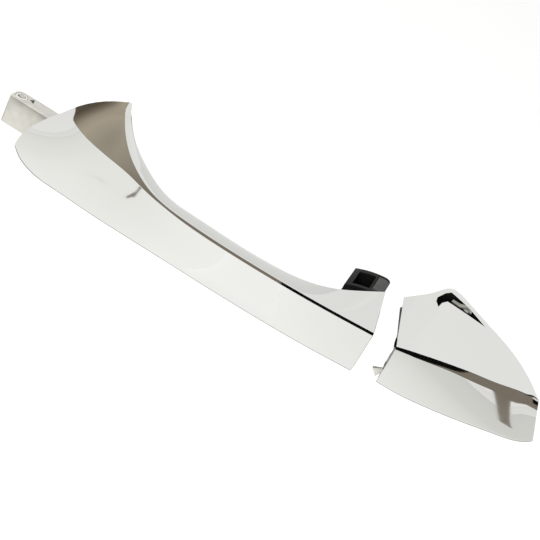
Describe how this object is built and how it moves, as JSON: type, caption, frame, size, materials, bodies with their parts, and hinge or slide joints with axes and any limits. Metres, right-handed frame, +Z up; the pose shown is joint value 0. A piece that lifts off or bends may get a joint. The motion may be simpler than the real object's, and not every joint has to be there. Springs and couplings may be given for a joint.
{
  "type": "car door handle",
  "caption": "Car door pull handle in bright chrome: a grip that swings out on its front pivot tongue, and an end cap that slides up behind it.",
  "frame": {"origin": "the point where the grip's crease meets the door skin, at the grip's front foot; the skin is the plane y = 0", "axes": "+X along the handle from the pivot tongue to the end cap, +Y into the door, +Z up"},
  "size_m": [0.303, 0.0541, 0.0654],
  "materials": {
    "bright_chrome": "bright chrome plate on moulded plastic",
    "cast_metal": "fine cast metal with a pale satin plate",
    "black_plastic": "black glass-filled nylon, lightly textured",
    "grey_rubber": "dark grey felted rubber",
    "zinc_steel": "zinc plated steel",
    "white_nylon": "natural nylon",
    "spring_strip": "spring steel strip with a warm grey film",
    "brass": "turned brass"
  },
  "bodies": {
    "door_side": {"pivot_pin": "zinc_steel"},
    "grip": {"pivot_bush": "white_nylon", "grip_shell": "bright_chrome", "grip_back_cover": "bright_chrome", "grip_core": "cast_metal", "cover_screw_1": "zinc_steel", "cover_screw_2": "zinc_steel", "cover_screw_3": "zinc_steel", "pull_arm": "black_plastic", "arm_pad": "grey_rubber", "arm_screw_1": "zinc_steel", "arm_screw_2": "zinc_steel"},
    "cap": {"cap_shell": "bright_chrome", "cap_carrier": "black_plastic", "cap_locating_tab": "cast_metal", "cap_spring_clip": "spring_strip", "clip_rivet_1": "zinc_steel", "carrier_screw_1": "zinc_steel", "carrier_screw_2": "zinc_steel", "cap_insert": "brass", "cap_pad": "grey_rubber", "cap_edge_seal": "grey_rubber"}
  },
  "joints": [
    {"name": "grip_swing", "type": "hinge", "parent": "door_side", "child": "grip", "pos_m": [-0.0286, 0.0111, -0.021], "axis": [0, 0, -1], "range_deg": [0, 12], "stiffness_Nm_per_rad": 3},
    {"name": "cap_slide", "type": "slide", "parent": "door_side", "child": "cap", "axis": [1, 0, 0], "range_m": [-0.008, 0]}
  ]
}
